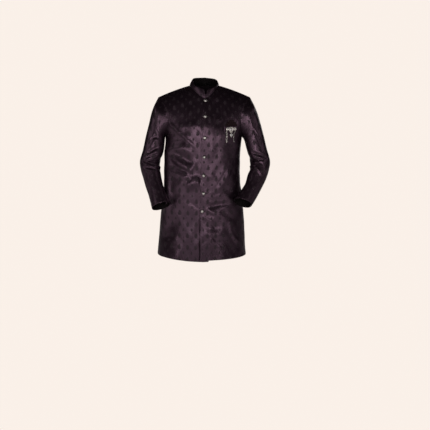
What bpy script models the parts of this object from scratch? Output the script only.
"""Short sherwani coat in jacquard satin, hollow, as it hangs on a wearer.

Metres, +Z up, front towards -Y, the wearer's left towards +X.
The origin lies between the two points where the collar meets the shoulder seams.
Every cloth piece is a wall: a grid of outer points, an inner layer one wall
thickness behind it, and edges between them. The grids are read from the row and
ring tables below, in millimetres.
"""
import bmesh
import bpy
import numpy as np
from math import pi
from mathutils import Matrix, Vector
from mathutils.bvhtree import BVHTree

MM = 0.001

# Cloth
WALL = 2.0              # satin, interlining and lining pressed together
COLLAR_WALL = 2.8       # band collar, stiffened and doubled
SEAM_TRIM = 0.17        # each edge stops this far short of its seam
OVERLAP_LIFT = 3.2      # how far the upper front lies above the under front
UNDERLAP = 29.0         # how far the under front runs on past the centre front
CENTRE_FRONT_SHIFT = 6.0
HEM_STEP = 6.0          # the under front's hem shows this far below the upper one
SHOULDER_RISE = 3.5     # crown of the shoulder line over a straight seam

# Levels up a panel: 0 is the hem, UNDERARM the armhole's lowest point,
# NECK_CF the neckline at centre front, 1 the shoulder seam.
UNDERARM = 0.76
NECK_CF = 0.90
LOW_LEVELS = 22
HIGH_LEVELS = (0.76, 0.785, 0.81, 0.835, 0.86, 0.89, 0.90, 0.92, 0.94, 0.96, 0.98, 1.0)
FRONT_COLUMNS = 11
BACK_NECK_COLUMNS = 4

# level: height up the panel; y_in, z_in: centre line (or neckline, with x_in);
# x_out, y_out, z_out: side seam, then the armhole; fullness: superellipse power of
# the section; flat: how far the section is drawn out to a straight line.
FRONT_ROWS = (
    # level x_in y_in   z_in   x_out y_out  z_out  fullness flat
    (0.000, 0, -156.0, -839.0, 219.5, 2.0, -831.0, 2.30, 0.00),
    (0.120, 0, -139.5, -744.5, 212.5, 2.0, -740.5, 2.30, 0.00),
    (0.240, 0, -127.0, -651.0, 206.5, 2.0, -648.5, 2.40, 0.00),
    (0.360, 0, -120.5, -558.0, 197.0, 2.0, -557.0, 2.55, 0.00),
    (0.480, 0, -118.0, -468.0, 186.0, 2.0, -467.0, 2.65, 0.00),
    (0.580, 0, -117.5, -390.0, 182.0, 2.0, -390.0, 2.55, 0.00),
    (0.680, 0, -121.5, -310.0, 184.0, 2.0, -314.0, 2.35, 0.00),
    (0.760, 0, -124.5, -245.0, 188.0, 2.0, -252.0, 2.20, 0.00),
    (0.800, 0, -124.0, -205.0, 184.0, -36.0, -238.0, 2.15, 0.15),
    (0.840, 0, -116.0, -162.0, 179.0, -60.0, -207.0, 2.10, 0.30),
    (0.870, 0, -104.0, -119.0, 178.0, -70.0, -172.0, 2.05, 0.38),
    (0.900, 0, -86.0, -70.0, 182.0, -71.0, -137.0, 2.00, 0.48),
    (0.925, 21, -77.0, -56.0, 190.0, -62.0, -110.0, 2.00, 0.60),
    (0.950, 40, -62.0, -39.0, 201.0, -46.0, -88.0, 2.00, 0.72),
    (0.975, 58, -37.0, -19.0, 213.0, -23.0, -70.0, 2.00, 0.86),
    (1.000, 72, 3.0, 0.0, 225.0, 5.0, -57.0, 2.00, 1.00),
)
BACK_ROWS = (
    # level x_in y_in   z_in   x_out y_out  z_out  fullness flat
    (0.000, 0, 151.0, -836.0, 219.5, 2.0, -831.0, 2.30, 0.00),
    (0.120, 0, 147.0, -743.0, 212.5, 2.0, -740.5, 2.30, 0.00),
    (0.240, 0, 141.0, -650.5, 206.5, 2.0, -648.5, 2.30, 0.00),
    (0.360, 0, 129.0, -558.0, 197.0, 2.0, -557.0, 2.30, 0.00),
    (0.480, 0, 114.0, -468.0, 186.0, 2.0, -467.0, 2.28, 0.00),
    (0.580, 0, 106.0, -390.0, 182.0, 2.0, -390.0, 2.25, 0.00),
    (0.680, 0, 112.0, -310.0, 184.0, 2.0, -314.0, 2.22, 0.00),
    (0.760, 0, 120.0, -245.0, 188.0, 2.0, -252.0, 2.20, 0.00),
    (0.800, 0, 122.0, -205.0, 187.0, 38.0, -238.0, 2.15, 0.15),
    (0.840, 0, 121.0, -165.0, 186.0, 63.0, -207.0, 2.10, 0.30),
    (0.870, 0, 118.0, -130.0, 187.0, 72.0, -172.0, 2.05, 0.40),
    (0.900, 0, 112.0, -98.0, 190.0, 71.0, -137.0, 2.00, 0.50),
    (0.925, 0, 105.0, -70.0, 197.0, 62.0, -110.0, 2.00, 0.60),
    (0.950, 0, 97.0, -45.0, 205.0, 47.0, -88.0, 2.00, 0.70),
)
# The back's two upper rows, which run along the neckline and the shoulder.
BACK_YOKE_ROW = (
    # x     y      z
    (0.0, 87.0, -21.0),
    (40.0, 74.0, -18.0),
    (77.0, 46.0, -16.0),
    (150.0, 35.0, -42.0),
    (216.0, 24.0, -70.0),
)
BACK_NECK_ROW = (
    # x     y      z
    (0.0, 74.0, 3.0),
    (18.0, 72.0, 3.0),
    (36.0, 65.0, 2.5),
    (53.0, 50.0, 1.5),
    (66.0, 27.0, 0.5),
    (72.0, 3.0, 0.0),
)
SHOULDER_TIP = (225.0, 5.0, -57.0)

# How far the coat's middle leans to the wearer's right as it goes down.
SWAY = (
    # z       x
    (-850.0, -14.0),
    (-690.0, -11.0),
    (-460.0, -8.5),
    (-400.0, -7.0),
    (-300.0, -5.0),
    (-160.0, 0.0),
    (60.0, 0.0),
)
# Distance from the centre front to the upper front's edge.
FRONT_EDGE = (
    # level edge
    (0.00, 11.0),
    (0.25, 13.0),
    (0.40, 16.0),
    (0.72, 14.5),
    (0.82, 11.0),
    (0.90, 10.0),
)
# Band collar: its upper edge on each side, from the front notch round to the
# centre back. way: share of the band's length from front to back.
COLLAR_TOP_RIGHT = (
    # way   x      y      z
    (0.00, 8.6, -80.5, -24.5),
    (0.22, -28.0, -66.0, -10.5),
    (0.42, -50.0, -34.0, 6.0),
    (0.58, -58.0, 2.0, 29.0),
    (0.80, -46.0, 41.0, 39.0),
    (1.00, 3.0, 62.0, 42.0),
)
COLLAR_TOP_LEFT = (
    # way   x      y      z
    (0.00, 9.2, -81.0, -24.5),
    (0.22, 42.0, -65.0, -13.0),
    (0.42, 59.0, -33.0, 1.0),
    (0.58, 66.0, 2.0, 20.0),
    (0.80, 53.0, 41.0, 34.0),
    (1.00, 3.0, 62.0, 42.0),
)
# The notch: how far each collar end stands back from the centre front.
COLLAR_NOTCH = (
    # height set_back
    (0.00, 0.35),
    (0.46, 0.45),
    (0.54, 5.0),
    (0.80, 9.0),
    (0.94, 11.5),
    (1.00, 14.5),
)
COLLAR_HEIGHTS = (0.0, 0.24, 0.46, 0.54, 0.80, 0.94, 1.0)

# Sleeves: each ring from its outer point to its inner point, with its half depth.
SLEEVE_RIGHT = (
    # x_o    y_o     z_o     x_i    y_i     z_i    depth
    (242.9, 4.0, -93.0, 193.9, 1.0, -263.0, 83.0),
    (258.4, 0.0, -132.0, 194.1, -3.0, -272.7, 77.0),
    (271.6, -8.0, -188.8, 194.5, -10.0, -283.3, 71.0),
    (286.3, -17.0, -249.1, 195.3, -19.0, -297.7, 66.0),
    (299.6, -27.0, -315.5, 203.1, -29.0, -338.3, 62.0),
    (314.8, -36.0, -373.6, 217.1, -38.0, -385.7, 58.0),
    (308.6, -49.0, -413.4, 214.3, -50.0, -403.6, 55.0),
    (296.0, -65.0, -451.9, 209.0, -62.0, -439.8, 52.0),
    (283.6, -82.0, -491.1, 201.1, -76.0, -475.0, 49.0),
    (268.8, -99.0, -528.3, 189.0, -91.0, -510.0, 47.0),
    (257.8, -115.0, -563.6, 175.7, -106.0, -542.3, 46.0),
    (250.2, -130.0, -591.4, 164.1, -119.0, -567.3, 46.0),
)
SLEEVE_LEFT = (
    # x_o    y_o     z_o     x_i    y_i     z_i    depth
    (243.4, 4.0, -93.0, 193.4, 1.0, -261.0, 83.0),
    (260.4, 0.0, -132.0, 195.1, -3.0, -265.8, 77.0),
    (276.5, -8.0, -185.8, 197.5, -10.0, -271.4, 71.0),
    (292.2, -17.0, -247.1, 201.2, -19.0, -284.8, 66.0),
    (307.4, -27.0, -313.6, 213.0, -29.0, -331.4, 62.0),
    (322.7, -36.0, -373.6, 224.9, -38.0, -382.8, 58.0),
    (315.4, -49.0, -413.4, 224.3, -50.0, -399.9, 55.0),
    (301.9, -65.0, -451.9, 210.0, -62.0, -437.9, 52.0),
    (281.5, -82.0, -490.9, 199.2, -76.0, -475.1, 49.0),
    (260.8, -99.0, -526.3, 180.1, -91.0, -504.3, 47.0),
    (242.6, -115.0, -555.4, 159.8, -106.0, -530.4, 46.0),
    (226.1, -130.0, -577.3, 141.0, -119.0, -551.1, 46.0),
)
RINGS_PER_STATION = 2
SLEEVE_FULLNESS = 2.15
LEVEL_STATIONS = 6.0     # stations over which the section turns from level to square

# Folds of the fronts and the back: a ridge (height above 0) or a trough along a
# line seen from the front, bowed sideways at its middle.
FRONT_FOLDS = (
    # x1      z1      x2      z2     height width  bow
    (-187.0, -168.0, -46.0, -294.0, 3.2, 10.0, 2.0),
    (-178.0, -298.0, -78.0, -258.0, -6.0, 20.0, 8.0),
    (-142.0, -320.0, -54.0, -380.0, -4.5, 13.0, 0.0),
    (-104.0, -386.0, -30.0, -356.0, 3.5, 13.0, -6.0),
    (-118.0, -497.0, -42.0, -372.0, 4.0, 14.0, 6.0),
    (-90.0, -452.0, -18.0, -418.0, -6.5, 15.0, 0.0),
    (-172.0, -310.0, -173.0, -590.0, 6.0, 15.0, 0.0),
    (56.0, -505.0, 124.0, -398.0, 3.0, 14.0, -8.0),
    (86.0, -520.0, 160.0, -430.0, -3.0, 22.0, -6.0),
    (118.0, -262.0, 150.0, -372.0, -6.0, 26.0, 0.0),
    (18.0, -583.0, 116.0, -566.0, -5.0, 14.0, 0.0),
    (13.0, -604.0, 104.0, -634.0, 2.5, 14.0, 0.0),
    (-30.0, -598.0, -120.0, -560.0, 2.0, 16.0, 4.0),
    (8.0, -683.0, 92.0, -677.0, -3.5, 16.0, 0.0),
    (-185.0, -838.0, -45.0, -838.0, 7.0, 55.0, 0.0),
    (118.0, -650.0, 166.0, -770.0, 3.5, 17.0, 12.0),
    (-150.0, -640.0, -176.0, -760.0, -5.0, 24.0, 0.0),
    (100.0, -176.0, 156.0, -182.0, -7.0, 15.0, 0.0),
    (84.0, -172.0, 60.0, -158.0, 2.5, 13.0, 0.0),
    (164.0, -186.0, 188.0, -150.0, 2.5, 13.0, 0.0),
)
BACK_FOLDS = (
    # x1      z1      x2      z2     height width  bow
    (-166.0, -250.0, -60.0, -390.0, 4.5, 16.0, 10.0),
    (168.0, -244.0, 70.0, -372.0, 4.0, 16.0, -10.0),
    (-120.0, -420.0, 40.0, -404.0, -4.0, 17.0, 8.0),
    (-30.0, -448.0, 130.0, -430.0, -3.5, 16.0, -6.0),
    (-150.0, -600.0, -120.0, -800.0, 4.5, 24.0, 6.0),
    (150.0, -590.0, 128.0, -800.0, 4.0, 24.0, -6.0),
    (-40.0, -640.0, -52.0, -810.0, -4.0, 26.0, 0.0),
    (52.0, -650.0, 60.0, -815.0, -3.5, 26.0, 0.0),
)
# Folds of the sleeves. run: stations down the sleeve; turn: way round it, where
# 0 is the outer side, 0.25 the front, 0.5 the inner side.
SLEEVE_FOLDS = (
    # run1 turn1 run2  turn2 height width
    (5.3, 0.55, 6.1, 0.18, -5.5, 10.0),
    (4.4, 0.50, 5.6, 0.20, 4.0, 11.0),
    (6.6, 0.52, 6.9, 0.22, 4.0, 11.0),
    (7.4, 0.50, 7.2, 0.24, -4.0, 10.0),
    (1.2, 0.16, 4.0, 0.10, 3.0, 13.0),
    (1.0, 0.34, 3.4, 0.30, -3.5, 13.0),
    (8.4, 0.16, 10.2, 0.22, 2.5, 12.0),
)

# Seven domed metal buttons with a shank each, down the centre front
BUTTONS = (
    # z     across
    (-77.0, 0.0),
    (-152.0, -1.0),
    (-253.0, 0.0),
    (-345.0, 0.0),
    (-434.0, 0.0),
    (-519.0, 0.0),
    (-605.0, -5.5),
)
BUTTON_PROFILE = (
    # radius height above the cloth
    (0.0, 0.35),
    (2.4, 0.35),
    (2.4, 1.8),
    (8.4, 2.0),
    (9.2, 3.0),
    (7.6, 5.4),
    (4.2, 7.2),
    (0.0, 7.9),
)
BUTTON_SIDES = 14

# Breast pocket on the wearer's left: a welt and the dark mouth above it
WELT_CENTRE = (129.0, -211.0)
WELT_WIDTH = 66.0
WELT_HEIGHT = 25.0
WELT_WALL = 1.6
WELT_OFFSET = 0.7       # cloth to the welt's back, along its lower edge
WELT_GAPE = 4.0         # how far its upper edge stands away
MOUTH_CENTRE = (130.0, -188.0)
MOUTH_WIDTH = 54.0
MOUTH_HEIGHT = 40.0
MOUTH_WALL = 1.0
MOUTH_OFFSET = 1.3

# Brooch pinned to the welt: a plate with two wings and an oval, a drop that
# swings on a stud, and two chains
BROOCH_PLACE = (128.0, -212.0)
BROOCH_OUTLINE = (
    # x     up    down
    (0.0, 11.5, -18.5),
    (5.0, 10.5, -16.0),
    (8.6, 8.0, -9.5),
    (11.0, 6.0, -4.5),
    (15.5, 8.5, -6.0),
    (22.5, 8.0, -6.5),
    (26.0, 3.5, -2.5),
)
PLATE_OFFSET = 1.2
PLATE_WALL = 2.2
STUD_PLACE = -13.0
STUD_RADIUS = 0.9
STUD_LENGTH = 2.4
HEAD_RADIUS = 1.9
HEAD_HEIGHT = 0.7
EYE_INNER = 1.3
EYE_OUTER = 2.6
EYE_WALL = 1.2
EYE_GAP = 0.55
DROP_OUTLINE = (
    # down  half
    (-2.3, 1.1),
    (-5.6, 1.3),
    (-9.5, 4.6),
    (-14.5, 7.4),
    (-19.0, 6.0),
    (-23.0, 2.8),
    (-26.5, 0.6),
)
DROP_WALL = 2.6
CHAIN_RADIUS = 1.2
CHAIN_OFFSET = 0.6
CHAIN_LEFT = (
    # x     z, from the plate's wing down, round and up again
    (-23.4, -6.9),
    (-24.4, -22.0),
    (-25.4, -40.0),
    (-26.2, -56.0),
    (-25.8, -63.0),
    (-23.6, -65.5),
    (-21.6, -62.0),
    (-21.0, -52.0),
    (-20.6, -36.0),
    (-20.4, -20.0),
    (-20.4, -7.5),
)
CHAIN_RIGHT = (
    # x     z
    (22.0, -7.5),
    (18.8, -17.0),
    (15.4, -27.0),
    (14.8, -38.0),
    (14.6, -50.0),
    (14.6, -61.0),
)

SATIN = (0.030, 0.016, 0.026)
LINING = (0.020, 0.008, 0.010)
SILVER = (0.78, 0.76, 0.74)


# ---------------------------------------------------------------- form
def smooth(keys, values, at):
    """Cubic through values (keys first) that keeps their rises and falls."""
    keys = np.asarray(keys, float)
    values = np.asarray(values, float)
    spread = (-1,) + (1,) * (values.ndim - 1)
    step = np.diff(keys).reshape(spread)
    slope = np.diff(values, axis=0) / step
    tangent = np.zeros_like(values)
    tangent[0] = slope[0]
    tangent[-1] = slope[-1]
    if len(keys) > 2:
        before = slope[:-1]
        after = slope[1:]
        near = step[1:] + 2.0 * step[:-1]
        far = 2.0 * step[1:] + step[:-1]
        same = before * after > 0
        safe_before = np.where(same, before, 1.0)
        safe_after = np.where(same, after, 1.0)
        mean = (near + far) / (far / safe_before + near / safe_after)
        tangent[1:-1] = np.where(same, mean, 0.0)
    at = np.clip(np.asarray(at, float), keys[0], keys[-1])
    cell = np.clip(np.searchsorted(keys, at, side="right") - 1, 0, len(keys) - 2)
    width = keys[cell + 1] - keys[cell]
    t = (at - keys[cell]) / width
    index = (cell, np.arange(len(at))) if values.ndim == 3 else (cell,)
    nxt = (cell + 1, np.arange(len(at))) if values.ndim == 3 else (cell + 1,)
    if values.ndim > 1:
        t = t[:, None]
        width = width[:, None]
    a = 2 * t**3 - 3 * t**2 + 1
    b = t**3 - 2 * t**2 + t
    c = -2 * t**3 + 3 * t**2
    d = t**3 - t**2
    return (a * values[index] + b * width * tangent[index]
            + c * values[nxt] + d * width * tangent[nxt])


def ease(low, high, at):
    """0 below low, 1 above high, smooth between."""
    t = np.clip((np.asarray(at, float) - low) / (high - low), 0.0, 1.0)
    return t * t * (3.0 - 2.0 * t)


def even_row(points, count=161):
    """A row of points respaced evenly along its length, and that length."""
    points = np.asarray(points, float)
    length = np.concatenate(([0.0], np.cumsum(np.linalg.norm(np.diff(points, axis=0), axis=1))))
    want = np.linspace(0.0, length[-1], count)
    even = np.stack([np.interp(want, length, points[:, axis]) for axis in range(3)], axis=1)
    return even, length[-1]


def section(row):
    """One half section, from the centre line to the side seam or armhole."""
    level, x_in, y_in, z_in, x_out, y_out, z_out, fullness, flat = row
    turn = np.linspace(0.0, pi / 2.0, 400)
    round_x = np.sin(turn) ** (2.0 / fullness)
    round_y = np.cos(turn) ** (2.0 / fullness)
    line = turn / (pi / 2.0)
    across = (1.0 - flat) * round_x + flat * line
    depth = (1.0 - flat) * round_y + flat * (1.0 - line)
    x = x_in + (x_out - x_in) * across
    y = y_out + (y_in - y_out) * depth
    z = z_in + (z_out - z_in) * across
    if level == 1.0:
        z = z + SHOULDER_RISE * 4.0 * across * (1.0 - across)
    return even_row(np.stack([x, y, z], axis=1))


def fine_curve(points):
    """A smooth curve through a few points."""
    points = np.asarray(points, float)
    run = np.concatenate(([0.0], np.cumsum(np.linalg.norm(np.diff(points, axis=0), axis=1))))
    return smooth(run, points, np.linspace(0.0, run[-1], 200))


def face_rows(front):
    """Levels, even rows and row lengths of the fronts or of the back."""
    rows = FRONT_ROWS if front else BACK_ROWS
    levels = [row[0] for row in rows]
    made = [section(row) for row in rows]
    if not front:
        levels += [0.977, 1.0]
        made.append(even_row(fine_curve(BACK_YOKE_ROW)))
        neck = fine_curve(BACK_NECK_ROW)
        way = np.linspace(0.0, 1.0, 100)[:, None]
        shoulder = neck[-1] * (1.0 - way) + np.array(SHOULDER_TIP) * way
        shoulder[:, 2:] += SHOULDER_RISE * 4.0 * way * (1.0 - way)
        made.append(even_row(np.concatenate((neck, shoulder[1:])), 641))
    lengths = np.array([length for even, length in made])
    return np.array(levels), [even for even, length in made], lengths


FACES = {True: face_rows(True), False: face_rows(False)}
SIDE_ROWS = np.array([row for row in FRONT_ROWS if row[0] <= UNDERARM])


def row_length(front, level):
    levels, rows, lengths = FACES[front]
    return smooth(levels, lengths, level)


def body(front, share, level):
    """The coat's form at a share (-1 to 1) of the half row, at a level."""
    share = np.asarray(share, float)
    level = np.asarray(level, float)
    levels, rows, lengths = FACES[front]
    part = np.abs(share)
    stack = []
    for even in rows:
        spot = np.linspace(0.0, 1.0, len(even))
        stack.append(np.stack([np.interp(part, spot, even[:, axis]) for axis in range(3)], axis=1))
    point = smooth(levels, np.array(stack), level)
    side = smooth(SIDE_ROWS[:, 0], SIDE_ROWS[:, 4:7], level)
    edge_stack = np.array([np.repeat(even[-1:], len(level), axis=0) for even in rows])
    edge = smooth(levels, edge_stack, level)
    below = (level <= UNDERARM)[:, None]
    point = point + np.where(below, side - edge, 0.0) * (part**6)[:, None]
    point[:, 0] *= np.where(share < 0, -1.0, 1.0)
    if front:
        shift = CENTRE_FRONT_SHIFT * (1.0 - part**2) * (1.0 - ease(NECK_CF, 1.0, level))
        point[:, 0] += shift
    sway = np.array(SWAY)
    point[:, 0] += smooth(sway[:, 0], sway[:, 1], point[:, 2])
    return point


def grid_normals(points, outward=1.0):
    """Unit normals of a grid of points, rows first."""
    down = np.gradient(points, axis=0)
    along = np.gradient(points, axis=1)
    normal = np.cross(along, down) * outward
    return normal / np.maximum(np.linalg.norm(normal, axis=2, keepdims=True), 1e-9)


def fold_height(folds, x, z):
    """Sum of the folds' heights at points seen from the front."""
    total = np.zeros_like(x)
    for x1, z1, x2, z2, height, width, bow in folds:
        length = np.hypot(x2 - x1, z2 - z1)
        ax = (x2 - x1) / length
        az = (z2 - z1) / length
        run = ((x - x1) * ax + (z - z1) * az) / length
        off = (x - x1) * -az + (z - z1) * ax
        off = off - bow * 4.0 * np.clip(run, 0, 1) * (1.0 - np.clip(run, 0, 1))
        ends = ease(-0.18, 0.22, run) * (1.0 - ease(0.78, 1.18, run))
        total += height * np.exp(-(off / width) ** 2) * ends
    return total


def body_grid(front, share, level, lift=0.0):
    """Grid of the finished cloth's outer points, with folds and lift."""
    shape = share.shape
    base = body(front, share.ravel(), level.ravel()).reshape(shape + (3,))
    normal = grid_normals(base, 1.0 if front else -1.0)
    folds = FRONT_FOLDS if front else BACK_FOLDS
    high = fold_height(folds, base[..., 0], base[..., 2])
    part = np.abs(share)
    calm = 1.0 - ease(0.86, 0.99, part)
    calm = calm * (1.0 - ease(0.80, 0.88, level) * (1.0 if not front else 0.0))
    calm = calm * (1.0 - ease(0.90, 0.97, level))
    return base + normal * (high * calm + lift)[..., None]


# ---------------------------------------------------------------- walls
def wall(name, outer, normals, thickness, colour, metallic=0.0):
    """A closed wall from a grid of outer points and the directions out of it."""
    rows, columns = outer.shape[:2]
    inner = outer - normals * thickness
    bm = bmesh.new()
    bmesh.ops.create_grid(bm, x_segments=columns - 1, y_segments=rows - 1, size=0.5)
    spot = {}
    for vert in bm.verts:
        column = round((vert.co.x + 0.5) * (columns - 1))
        row = round((vert.co.y + 0.5) * (rows - 1))
        spot[vert] = (row, column)
    made = bmesh.ops.extrude_face_region(bm, geom=bm.faces[:], use_keep_orig=True)
    for vert in made["geom"]:
        if isinstance(vert, bmesh.types.BMVert):
            column = round((vert.co.x + 0.5) * (columns - 1))
            row = round((vert.co.y + 0.5) * (rows - 1))
            vert.co = Vector(inner[row, column]) * MM
    for vert, (row, column) in spot.items():
        vert.co = Vector(outer[row, column]) * MM
    bmesh.ops.recalc_face_normals(bm, faces=bm.faces[:])
    return add_object(name, bm, colour, metallic)


def add_object(name, bm, colour, metallic):
    bmesh.ops.triangulate(bm, faces=bm.faces[:], quad_method="SHORT_EDGE")
    if bm.calc_volume(signed=True) < 0.0:
        bmesh.ops.reverse_faces(bm, faces=bm.faces[:])
    mesh = bpy.data.meshes.new(name)
    bm.to_mesh(mesh)
    bm.free()
    mesh.shade_smooth()
    mesh.set_sharp_from_angle(angle=0.6)
    mesh.materials.append(material(name, colour, metallic))
    made = bpy.data.objects.new(name, mesh)
    bpy.context.collection.objects.link(made)
    return made


def material(name, colour, metallic):
    made = bpy.data.materials.new(name)
    made.use_nodes = True
    shader = made.node_tree.nodes["Principled BSDF"]
    shader.inputs["Base Color"].default_value = (*colour, 1.0)
    shader.inputs["Roughness"].default_value = 0.25 if metallic else 0.42
    shader.inputs["Metallic"].default_value = metallic
    return made


def trim(outer, amount=SEAM_TRIM, sides=(True, True, True, True)):
    """Draw a grid's first and last rows and columns in, short of their seams."""
    made = outer.copy()
    first_row, last_row, first_column, last_column = sides
    if first_row:
        made[0] += unit(outer[1] - outer[0]) * amount
    if last_row:
        made[-1] += unit(outer[-2] - outer[-1]) * amount
    if first_column:
        made[:, 0] += unit(outer[:, 1] - outer[:, 0]) * amount
    if last_column:
        made[:, -1] += unit(outer[:, -2] - outer[:, -1]) * amount
    return made


def unit(vectors):
    size = np.linalg.norm(vectors, axis=-1, keepdims=True)
    return vectors / np.maximum(size, 1e-9)


# ---------------------------------------------------------------- pieces
def levels_list():
    low = np.linspace(0.0, UNDERARM, LOW_LEVELS + 1)[:-1]
    return np.concatenate((low, np.array(HIGH_LEVELS)))


def front_shares(levels, upper):
    """Column places of a front, from its free edge to the side, in half rows."""
    edge = np.array(FRONT_EDGE)
    length = row_length(True, levels)
    width = smooth(edge[:, 0], edge[:, 1], levels)
    rows = []
    for level, whole, own in zip(levels, length, width):
        if level >= NECK_CF:
            rows.append(np.linspace(1e-6, 1.0, FRONT_COLUMNS + 1))
        elif upper:
            start = np.array([-own, 8.0, UNDERLAP])
            rest = np.linspace(UNDERLAP, whole, FRONT_COLUMNS - 1)[1:]
            rows.append(np.concatenate((start, rest)) / whole)
        else:
            start = np.array([-UNDERLAP, -8.0, own])
            rest = np.linspace(own, whole, FRONT_COLUMNS - 1)[1:]
            rows.append(np.concatenate((start, rest)) / whole)
    shares = np.array(rows)
    return shares if upper else -shares[:, ::-1]


def overlap_lift(shares, levels):
    """Lift of the upper front over the under one."""
    across = np.abs(shares) * row_length(True, levels[:, 0])[:, None]
    across = np.where(shares < 0, 0.0, across)
    return OVERLAP_LIFT * (1 - ease(UNDERLAP, 62.0, across)) * (1 - ease(0.90, 0.96, levels))


def back_shares(levels):
    neck = even_row(fine_curve(BACK_NECK_ROW))[1] / FACES[False][2][-1]
    near = np.linspace(0.0, neck, BACK_NECK_COLUMNS + 1)[:-1]
    far = np.linspace(neck, 1.0, FRONT_COLUMNS + 1)
    half = np.concatenate((near, far))
    whole = np.concatenate((-half[::-1], half[1:]))
    return np.repeat(whole[None, :], len(levels), axis=0)


def cloth_grids():
    """Outer points of the three body panels, the sleeves and the collar."""
    levels = levels_list()
    grids = {}
    for name, upper in (("front_left", True), ("front_right", False)):
        shares = front_shares(levels, upper)
        high = np.repeat(levels[:, None], shares.shape[1], axis=1)
        lift = overlap_lift(shares, high) if upper else np.zeros_like(shares)
        grids[name] = body_grid(True, shares, high, lift)
        if not upper:
            across = np.abs(shares) * row_length(True, levels)[:, None]
            step = HEM_STEP * (1.0 - ease(0.0, 0.06, high)) * (1.0 - ease(60.0, 200.0, across))
            grids[name][:, :, 2] -= step
    shares = back_shares(levels)
    high = np.repeat(levels[:, None], shares.shape[1], axis=1)
    grids["back"] = body_grid(False, shares, high)
    join_sides(grids)
    grids["sleeve_left"] = sleeve_grid(grids, 1.0)
    grids["sleeve_right"] = sleeve_grid(grids, -1.0)
    grids["collar"] = collar_grid(grids)
    return grids


def join_sides(grids):
    """Give the panels the same points along each seam they share."""
    back = grids["back"]
    left = grids["front_left"]
    right = grids["front_right"]
    low = LOW_LEVELS + 1
    right[0, 0, 2] = right[0, 1, 2]
    for row in range(low):
        middle = 0.5 * (back[row, -1] + left[row, -1])
        back[row, -1] = middle
        left[row, -1] = middle
        middle = 0.5 * (back[row, 0] + right[row, 0])
        back[row, 0] = middle
        right[row, 0] = middle
    seam = slice(-(FRONT_COLUMNS + 1), None)
    back[-1, seam] = left[-1, :]
    back[-1, :FRONT_COLUMNS + 1] = right[-1, :]


def armhole(grids, side):
    """Armhole points from the shoulder tip down the front and up the back."""
    if side > 0:
        front = grids["front_left"][LOW_LEVELS:, -1]
        back = grids["back"][LOW_LEVELS:, -1]
    else:
        front = grids["front_right"][LOW_LEVELS:, 0]
        back = grids["back"][LOW_LEVELS:, 0]
    return np.concatenate((front[::-1], back[1:]))


def sleeve_grid(grids, side):
    """Rings of a sleeve, from its armhole seam to its cuff."""
    hole = armhole(grids, side)
    half = len(hole) // 2
    run = np.concatenate(([0.0], np.cumsum(np.linalg.norm(np.diff(hole, axis=0), axis=1))))
    turn = np.where(
        np.arange(len(hole)) <= half,
        0.5 * run / run[half],
        0.5 + 0.5 * (run - run[half]) / (run[-1] - run[half]),
    )
    stations = np.array(SLEEVE_LEFT if side > 0 else SLEEVE_RIGHT)
    centre = 0.5 * (stations[:, 0:3] + stations[:, 3:6])
    axis = unit(np.gradient(centre, axis=0))
    axis[0] = unit(np.cross(stations[0, 0:3] - stations[0, 3:6], np.array([0.0, -1.0, 0.0])))
    rings = [hole * np.array([side, 1.0, 1.0])]
    for place, station in enumerate(stations):
        out = 0.5 * (station[0:3] - station[3:6])
        fore = unit(np.cross(axis[place], out))
        fore = fore if fore[1] < 0 else -fore
        level = max(1.0 - place / LEVEL_STATIONS, 0.0)
        fore = unit(fore * (1.0 - level) + np.array([0.0, -level, 0.0]))
        angle = 2.0 * pi * turn
        power = 2.0 / SLEEVE_FULLNESS
        c = np.sign(np.cos(angle)) * np.abs(np.cos(angle)) ** power
        s = np.sign(np.sin(angle)) * np.abs(np.sin(angle)) ** power
        rings.append(centre[place] + c[:, None] * out + s[:, None] * fore * station[6])
    steps = np.linspace(0.0, len(stations), len(stations) * RINGS_PER_STATION + 1)
    shape = []
    for step in steps:
        at = np.full(len(hole), step)
        shape.append(smooth(np.arange(len(stations) + 1), np.array(rings), at))
    points = np.array(shape)
    points[:, :, 0] *= side
    normal = grid_normals(points)
    middle = points[:, :-1].mean(axis=1, keepdims=True)
    facing = np.sign(np.sum(normal * (points - middle), axis=2, keepdims=True))
    normal = normal * facing
    run_down = np.repeat(steps[:, None], len(hole), axis=1)
    around = np.repeat(turn[None, :], len(steps), axis=0)
    high = np.zeros_like(run_down)
    for run1, turn1, run2, turn2, height, width in SLEEVE_FOLDS:
        high += sleeve_fold(run_down, around, (run1, turn1, run2, turn2), height, width)
    high *= ease(0.3, 1.5, run_down) * (1.0 - ease(10.6, 11.8, run_down))
    points = points + normal * high[..., None]
    points[:, -1] = points[:, 0]
    return points[::-1]


def sleeve_fold(run_down, around, line, height, width):
    """Height of one fold on a sleeve, by its run and turn."""
    run1, turn1, run2, turn2 = line
    step = 42.0
    round_length = 320.0
    dx = (run2 - run1) * step
    dy = (turn2 - turn1) * round_length
    length = np.hypot(dx, dy)
    px = (run_down - run1) * step
    py = (around - turn1) * round_length
    along = (px * dx + py * dy) / length**2
    off = (px * -dy + py * dx) / length
    ends = ease(-0.15, 0.2, along) * (1.0 - ease(0.8, 1.15, along))
    return height * np.exp(-(off / width) ** 2) * ends


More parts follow.
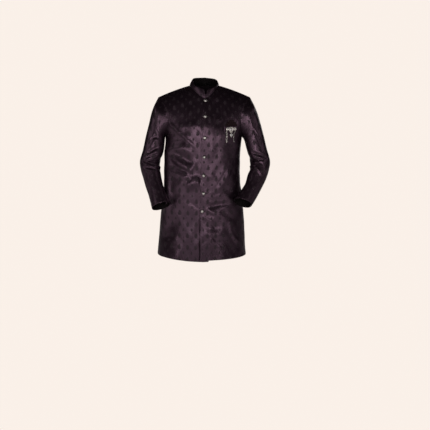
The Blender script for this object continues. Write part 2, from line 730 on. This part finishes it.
def collar_grid(grids):
    """The band collar from its seam up, wearer's right end round to the left."""
    first = len(levels_list()) - sum(1 for level in HIGH_LEVELS if level >= NECK_CF)
    right = grids["front_right"][first:, -1]
    left = grids["front_left"][first:, 0]
    back = grids["back"][-1, FRONT_COLUMNS:-FRONT_COLUMNS]
    loop = np.concatenate((right, back[1:-1], left[::-1]))
    run = np.concatenate(([0.0], np.cumsum(np.linalg.norm(np.diff(loop, axis=0), axis=1))))
    middle = len(loop) // 2
    rows = []
    notch = np.array(COLLAR_NOTCH)
    for height in COLLAR_HEIGHTS:
        back_off = float(smooth(notch[:, 0], notch[:, 1], np.array([height]))[0])
        row = []
        for place in range(len(loop)):
            on_right = place <= middle
            whole = run[middle] if on_right else run[-1] - run[middle]
            gone = run[place] if on_right else run[-1] - run[place]
            way = gone / whole
            if place in (0, len(loop) - 1):
                way = back_off / whole
            base = np.array([np.interp(gone if way == gone / whole else back_off,
                                       *pair) for pair in end_pairs(loop, run, on_right)])
            table = np.array(COLLAR_TOP_RIGHT if on_right else COLLAR_TOP_LEFT)
            top = smooth(table[:, 0], table[:, 1:], np.array([way]))[0]
            point = base * (1.0 - height) + top * height
            out = unit(np.array([point[0] - 4.0, point[1] * 1.1, 0.0]))
            row.append(point + out * 2.0 * 4.0 * height * (1.0 - height))
        rows.append(row)
    return np.array(rows)


def end_pairs(loop, run, on_right):
    """Tables of length against x, y and z from one end of the collar's seam."""
    if on_right:
        return [(run, loop[:, axis]) for axis in range(3)]
    return [((run[-1] - run)[::-1], loop[::-1, axis]) for axis in range(3)]


def seam_directions(grids):
    """Directions out of each grid, shared where pieces meet along a seam."""
    normals = {}
    for name, points in grids.items():
        normal = grid_normals(points)
        middle = points.reshape(-1, 3).mean(axis=0)
        if name.startswith("sleeve"):
            middle = points[:, :-1].mean(axis=1, keepdims=True)
            normal[:, 0] = normal[:, -1] = unit(normal[:, 0] + normal[:, -1])
        if name == "collar":
            middle = np.array([4.0, 0.0, 0.0])
            facing = np.sum(normal * (points - middle) * np.array([1, 1, 0]), axis=2)
        else:
            facing = np.sum(normal * (points - middle), axis=2)
        normals[name] = normal * np.sign(facing.mean())
    rims = []
    for name, points in grids.items():
        rows, columns = points.shape[:2]
        for row in range(rows):
            for column in range(columns):
                if row in (0, rows - 1) or column in (0, columns - 1):
                    rims.append((name, row, column, points[row, column], normals[name][row, column]))
    places = np.array([rim[3] for rim in rims])
    shared = []
    for name, row, column, place, own in rims:
        near = np.nonzero(np.linalg.norm(places - place, axis=1) < 0.02)[0]
        seen = {name: own}
        for other in near:
            seen.setdefault(rims[other][0], rims[other][4])
        total = np.zeros(3)
        for key, normal in seen.items():
            tube = key == "collar" or key.startswith("sleeve")
            total += normal * (2.0 if tube and len(seen) > 2 else 1.0)
        shared.append(unit(total))
    for (name, row, column, place, own), total in zip(rims, shared):
        along = max(float(np.dot(total, own)), 0.6)
        normals[name][row, column] = total / along
    return normals


def build_cloth():
    grids = cloth_grids()
    normals = seam_directions(grids)
    made = {}
    for name, points in grids.items():
        if name.startswith("sleeve"):
            outer = trim(points, SEAM_TRIM, (False, True, False, False))
            outer[:, -1] = outer[:, 0]
            made[name] = tube_wall(name, outer, normals[name])
        elif name == "collar":
            outer = trim(points, SEAM_TRIM, (True, False, False, False))
            made[name] = wall(name, outer, normals[name], COLLAR_WALL, SATIN)
        else:
            sides = {
                "back": (False, True, True, True),
                "front_left": (False, True, True, True),
                "front_right": (False, True, True, True),
            }[name]
            made[name] = wall(name, trim(points, SEAM_TRIM, sides), normals[name], WALL, SATIN)
    return made, grids


def tube_wall(name, outer, normals):
    """A sleeve's wall: rings of outer and inner points, open at both ends."""
    rows, columns = outer.shape[:2]
    count = columns - 1
    inner = outer - normals * WALL
    bm = bmesh.new()
    bmesh.ops.create_circle(bm, cap_ends=False, radius=1.0, segments=count)
    ring = bm.verts[:]
    edges = bm.edges[:]
    order = list(range(rows)) + list(range(rows - 1, -1, -1))
    layers = [outer] * rows + [inner] * rows
    rings = [ring]
    loose = edges
    for step in range(1, len(order)):
        made = bmesh.ops.extrude_edge_only(bm, edges=loose)
        loose = [item for item in made["geom"] if isinstance(item, bmesh.types.BMEdge)]
        loose = [edge for edge in loose if edge.is_boundary or not edge.link_faces]
        following = [None] * count
        for vert in rings[-1]:
            for edge in vert.link_edges:
                far = edge.other_vert(vert)
                if far not in rings[-1] and (len(rings) < 2 or far not in rings[-2]):
                    following[rings[-1].index(vert)] = far
        rings.append(following)
    bmesh.ops.bridge_loops(bm, edges=[edge for edge in bm.edges if edge.is_boundary])
    for step, verts in enumerate(rings):
        for place, vert in enumerate(verts):
            vert.co = Vector(layers[step][order[step], place]) * MM
    bmesh.ops.recalc_face_normals(bm, faces=bm.faces[:])
    return add_object(name, bm, SATIN, 0.0)


def face_tree(made):
    """A tree of an object's faces, to seat other pieces on."""
    bm = bmesh.new()
    bm.from_mesh(made.data)
    tree = BVHTree.FromBMesh(bm)
    bm.free()
    return tree


def on_front(tree, x, z):
    """Point and outward direction of the cloth straight behind (x, z), in mm."""
    start = Vector((x * MM, -0.5, z * MM))
    place, normal, index, distance = tree.ray_cast(start, Vector((0.0, 1.0, 0.0)))
    normal = normal if normal.y < 0 else -normal
    return np.array(place) / MM, np.array(normal)


def centre_front(z, across):
    """x of the buttoning line at a height."""
    sway = np.array(SWAY)
    return float(smooth(sway[:, 0], sway[:, 1], np.array([z]))[0]) + CENTRE_FRONT_SHIFT + across


def place_object(made, place, out, up=(0.0, 0.0, 1.0)):
    """Stand a piece on the cloth: its +Z along out, its +Y as near up as can be."""
    out = Vector(out).normalized()
    right = Vector(up).cross(out).normalized()
    rise = out.cross(right)
    turn = Matrix((right, rise, out)).transposed()
    made.matrix_world = Matrix.Translation(Vector(place) * MM) @ turn.to_4x4()


def build_button(name, tree, z, across):
    x = centre_front(z, across)
    place, out = on_front(tree, x, z)
    bm = bmesh.new()
    verts = [bm.verts.new((radius * MM, 0.0, high * MM)) for radius, high in BUTTON_PROFILE]
    edges = [bm.edges.new(pair) for pair in zip(verts, verts[1:])]
    bmesh.ops.spin(bm, geom=verts + edges, axis=(0, 0, 1), cent=(0, 0, 0), angle=2 * pi,
                   steps=BUTTON_SIDES, use_merge=True)
    bmesh.ops.remove_doubles(bm, verts=bm.verts[:], dist=1e-6)
    bmesh.ops.recalc_face_normals(bm, faces=bm.faces[:])
    made = add_object(name, bm, SILVER, 1.0)
    place_object(made, place, out)
    return made


def laid_grid(tree, centre, width, height, columns, rows, offset, outline=None):
    """Points over the cloth, moved out by offset(height share)."""
    grid = []
    for row in range(rows + 1):
        up = row / rows
        line = []
        for column in range(columns + 1):
            side = 2.0 * column / columns - 1.0
            wide = outline(up) if outline else 1.0
            x = centre[0] + side * width / 2.0 * wide
            z = centre[1] + (up - 0.5) * height
            place, out = on_front(tree, x, z)
            place[1] -= offset(up)
            line.append(place)
        grid.append(line)
    return np.array(grid)


def build_pocket(tree):
    def gape(up):
        return WELT_OFFSET + WELT_WALL + WELT_GAPE * up**1.3

    def half_oval(up):
        return max(1.0 - max(up - 0.35, 0.0) ** 2 * 1.9, 0.2)

    def flat_on(up):
        return MOUTH_OFFSET + MOUTH_WALL

    grid = laid_grid(tree, WELT_CENTRE, WELT_WIDTH, WELT_HEIGHT, 12, 4, gape)
    normals = grid_normals(grid)
    wall("pocket_welt", grid, normals, WELT_WALL, SATIN)
    grid = laid_grid(tree, MOUTH_CENTRE, MOUTH_WIDTH, MOUTH_HEIGHT, 12, 5, flat_on, half_oval)
    wall("pocket_mouth", grid, grid_normals(grid), MOUTH_WALL, LINING)


def extruded(points, low, high):
    """A plate from an outline, between two heights."""
    bm = bmesh.new()
    verts = [bm.verts.new((x * MM, y * MM, low * MM)) for x, y in points]
    face = bm.faces.new(verts)
    made = bmesh.ops.extrude_face_region(bm, geom=[face], use_keep_orig=True)
    moved = [item for item in made["geom"] if isinstance(item, bmesh.types.BMVert)]
    bmesh.ops.translate(bm, verts=moved, vec=(0.0, 0.0, (high - low) * MM))
    bmesh.ops.recalc_face_normals(bm, faces=bm.faces[:])
    return bm


def add_cylinder(bm, x, y, radius, low, high, sides):
    made = bmesh.ops.create_cone(bm, cap_ends=True, cap_tris=False, segments=sides,
                                 radius1=radius * MM, radius2=radius * MM,
                                 depth=(high - low) * MM)
    middle = Vector((x * MM, y * MM, (low + high) / 2.0 * MM))
    bmesh.ops.translate(bm, verts=made["verts"], vec=middle)


def unite(base, others):
    """Join cutters to a base by exact Booleans, so the piece is one body."""
    for other in others:
        other.hide_render = True
        other.display_type = "WIRE"
        join = base.modifiers.new("join", "BOOLEAN")
        join.operation = "UNION"
        join.solver = "EXACT"
        join.object = other
    return base


def build_brooch(welt_tree, cloth_tree):
    """Plate, stud, swinging drop and chains."""
    place, out = on_front(welt_tree, *BROOCH_PLACE)
    upper = on_front(welt_tree, BROOCH_PLACE[0], WELT_CENTRE[1] + WELT_HEIGHT * 0.46)[0]
    side = np.cross(out, np.array([0.0, 0.0, 1.0]))
    out = unit(np.cross(upper - place, side))
    out = out if out[1] < 0 else -out
    right_up = [(x, up) for x, up, down in BROOCH_OUTLINE]
    right_down = [(x, down) for x, up, down in BROOCH_OUTLINE[::-1]]
    left_down = [(-x, down) for x, up, down in BROOCH_OUTLINE[1:]]
    left_up = [(-x, up) for x, up, down in BROOCH_OUTLINE[:0:-1]]
    outline = right_up + right_down + left_down + left_up
    low = PLATE_OFFSET
    top = low + PLATE_WALL
    plate = add_object("brooch", extruded(outline, low, top), SILVER, 1.0)
    stud = bmesh.new()
    add_cylinder(stud, 0.0, STUD_PLACE, STUD_RADIUS, top - 0.6, top + STUD_LENGTH, 12)
    stud = add_object("brooch_stud", stud, SILVER, 1.0)
    head = bmesh.new()
    add_cylinder(head, 0.0, STUD_PLACE, HEAD_RADIUS, top + STUD_LENGTH - 0.1,
                 top + STUD_LENGTH + HEAD_HEIGHT, 12)
    head = add_object("brooch_head", head, SILVER, 1.0)
    for piece in (plate, stud, head):
        place_object(piece, place, out)
    unite(plate, (stud, head))

    eye_low = top + EYE_GAP
    body = [(half, down) for down, half in DROP_OUTLINE]
    body += [(-half, down) for down, half in DROP_OUTLINE[::-1]]
    ring = bmesh.new()
    add_cylinder(ring, 0.0, 0.0, EYE_OUTER, eye_low, eye_low + EYE_WALL, 16)
    hole = bmesh.new()
    add_cylinder(hole, 0.0, 0.0, EYE_INNER, eye_low - 1.0, eye_low + EYE_WALL + 1.0, 16)
    drop = add_object("brooch_drop", extruded(body, eye_low - 0.4, eye_low - 0.4 + DROP_WALL),
                      SILVER, 1.0)
    ring = add_object("brooch_eye", ring, SILVER, 1.0)
    hole = add_object("brooch_eye_hole", hole, SILVER, 1.0)
    axis = Matrix.Translation(Vector((0.0, STUD_PLACE * MM, 0.0)))
    for piece in (drop, ring, hole):
        place_object(piece, place, out)
        piece.matrix_world = piece.matrix_world @ axis
    unite(drop, (ring,))
    hole.hide_render = True
    hole.display_type = "WIRE"
    cut = drop.modifiers.new("eye", "BOOLEAN")
    cut.operation = "DIFFERENCE"
    cut.solver = "EXACT"
    cut.object = hole
    build_chain("brooch_chain_left", CHAIN_LEFT, place, out, top, cloth_tree, 0.0)
    build_chain("brooch_chain_right", CHAIN_RIGHT, place, out, top, cloth_tree, 1.9)


def build_chain(name, path, place, out, top, cloth_tree, bead):
    """A fine chain as a four-sided strand that comes to lie on the cloth."""
    right = np.cross(np.array([0.0, 0.0, 1.0]), out)
    points = fine_curve([(x, z, 0.0) for x, z in path])[::9]
    spline_points = []
    for x, z, _ in points:
        held = place + right * x + out * (top - PLATE_WALL / 2.0)
        held[2] = place[2] + z
        rest, normal = on_front(cloth_tree, held[0], held[2])
        free = rest[1] - CHAIN_OFFSET - CHAIN_RADIUS * 1.5
        way = float(ease(4.0, 30.0, -z))
        spline_points.append((held[0], held[1] * (1 - way) + min(free, held[1] + 9.0) * way, held[2]))
    curve = bpy.data.curves.new(name, "CURVE")
    curve.dimensions = "3D"
    curve.bevel_depth = CHAIN_RADIUS * MM
    curve.bevel_resolution = 0
    curve.use_fill_caps = True
    spline = curve.splines.new("POLY")
    spline.points.add(len(spline_points) - 1)
    for index, point in enumerate(spline_points):
        spline.points[index].co = (*(Vector(point) * MM), 1.0)
        near_end = index >= len(spline_points) - 2
        spline.points[index].radius = bead if bead and near_end else 1.0
    curve.materials.append(material(name, SILVER, 1.0))
    made = bpy.data.objects.new(name, curve)
    bpy.context.collection.objects.link(made)
    return made


def main():
    for old in list(bpy.data.objects):
        bpy.data.objects.remove(old, do_unlink=True)
    cloth, grids = build_cloth()
    tree = face_tree(cloth["front_left"])
    for number, (z, across) in enumerate(BUTTONS, start=1):
        build_button(f"button_{number}", tree, z, across)
    build_pocket(tree)
    welt_tree = face_tree(bpy.data.objects["pocket_welt"])
    build_brooch(welt_tree, tree)


main()
